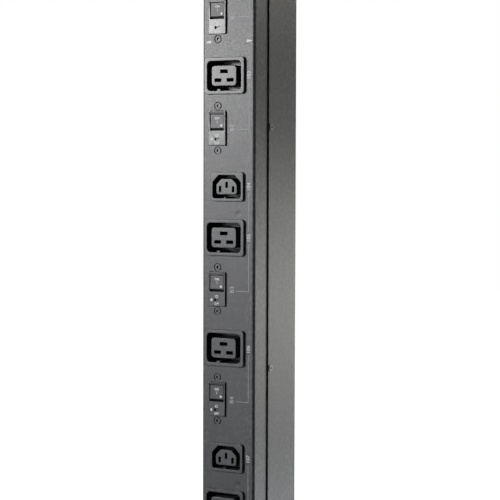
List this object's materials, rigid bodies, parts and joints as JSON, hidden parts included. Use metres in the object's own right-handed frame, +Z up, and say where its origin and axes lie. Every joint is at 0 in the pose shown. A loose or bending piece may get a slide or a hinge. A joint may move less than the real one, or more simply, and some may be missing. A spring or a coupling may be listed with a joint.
{
  "type": "rack power strip",
  "caption": "Vertical rack power strip: folded black case with switched groups of large and small appliance outlets, rocker breakers and a cable gland.",
  "frame": {"origin": "centre of the flat back face of the case", "axes": "+Z up the strip, -Y out of the face that carries the outlets, +X to the right seen from the outlets"},
  "size_m": [0.0602, 0.0886, 0.8956],
  "materials": {
    "powder_coat": "fine black textured powder coat",
    "cap_plastic": "matt black moulding",
    "breaker_plastic": "glossy black moulding with white marks",
    "rocker_plastic": "satin black moulding with white marks",
    "outlet_plastic": "satin black moulding",
    "black_screw": "black oxide steel",
    "nickel": "nickel plated steel",
    "gland_plastic": "black polyamide",
    "seal_rubber": "black rubber",
    "copper": "bare copper",
    "insulator": "grey insulating plastic"
  },
  "bodies": {
    "case": {"front_cover": "powder_coat", "rear_channel": "powder_coat", "top_cap": "cap_plastic", "bottom_cap": "cap_plastic", "breaker_1": "breaker_plastic", "breaker_screw_1_upper": "black_screw", "breaker_screw_1_lower": "black_screw", "large_outlet_1": "outlet_plastic", "small_outlet_1": "outlet_plastic", "breaker_2": "breaker_plastic", "breaker_screw_2_upper": "black_screw", "breaker_screw_2_lower": "black_screw", "large_outlet_2": "outlet_plastic", "breaker_3": "breaker_plastic", "breaker_screw_3_upper": "black_screw", "breaker_screw_3_lower": "black_screw", "large_outlet_3": "outlet_plastic", "small_outlet_2": "outlet_plastic", "breaker_4": "breaker_plastic", "breaker_screw_4_upper": "black_screw", "breaker_screw_4_lower": "black_screw", "large_outlet_4": "outlet_plastic", "breaker_5": "breaker_plastic", "breaker_screw_5_upper": "black_screw", "breaker_screw_5_lower": "black_screw", "large_outlet_5": "outlet_plastic", "small_outlet_3": "outlet_plastic", "breaker_6": "breaker_plastic", "breaker_screw_6_upper": "black_screw", "breaker_screw_6_lower": "black_screw", "large_outlet_6": "outlet_plastic", "side_screw_left_1": "black_screw", "side_screw_left_2": "black_screw", "side_screw_left_3": "black_screw", "side_screw_left_4": "black_screw", "side_screw_left_5": "black_screw", "side_screw_right_1": "black_screw", "side_screw_right_2": "black_screw", "side_screw_right_3": "black_screw", "side_screw_right_4": "black_screw", "side_screw_right_5": "black_screw", "mounting_peg_upper": "nickel", "mounting_peg_lower": "nickel", "gland_body": "gland_plastic", "gland_seal": "seal_rubber", "gland_nut": "gland_plastic", "gland_locknut": "gland_plastic", "busbar_line_1": "copper", "busbar_line_2": "copper", "busbar_line_3": "copper", "busbar_neutral": "copper", "busbar_earth": "copper", "busbar_carrier": "insulator", "terminal_block": "insulator"},
    "rocker_1": {"rocker_1": "rocker_plastic"},
    "rocker_2": {"rocker_2": "rocker_plastic"},
    "rocker_3": {"rocker_3": "rocker_plastic"},
    "rocker_4": {"rocker_4": "rocker_plastic"},
    "rocker_5": {"rocker_5": "rocker_plastic"},
    "rocker_6": {"rocker_6": "rocker_plastic"}
  },
  "joints": [
    {"name": "rocker_1_hinge", "type": "hinge", "parent": "case", "child": "rocker_1", "pos_m": [-0.0113, -0.0775, 0.28485], "axis": [1, 0, 0], "range_deg": [0, 14]},
    {"name": "rocker_2_hinge", "type": "hinge", "parent": "case", "child": "rocker_2", "pos_m": [-0.0113, -0.0775, 0.18175], "axis": [1, 0, 0], "range_deg": [0, 14]},
    {"name": "rocker_3_hinge", "type": "hinge", "parent": "case", "child": "rocker_3", "pos_m": [-0.0113, -0.0775, 0.03185], "axis": [1, 0, 0], "range_deg": [0, 14]},
    {"name": "rocker_4_hinge", "type": "hinge", "parent": "case", "child": "rocker_4", "pos_m": [-0.0113, -0.0775, -0.07125], "axis": [1, 0, 0], "range_deg": [0, 14]},
    {"name": "rocker_5_hinge", "type": "hinge", "parent": "case", "child": "rocker_5", "pos_m": [-0.0113, -0.0775, -0.22115], "axis": [1, 0, 0], "range_deg": [0, 14]},
    {"name": "rocker_6_hinge", "type": "hinge", "parent": "case", "child": "rocker_6", "pos_m": [-0.0113, -0.0775, -0.32425], "axis": [1, 0, 0], "range_deg": [0, 14]}
  ]
}
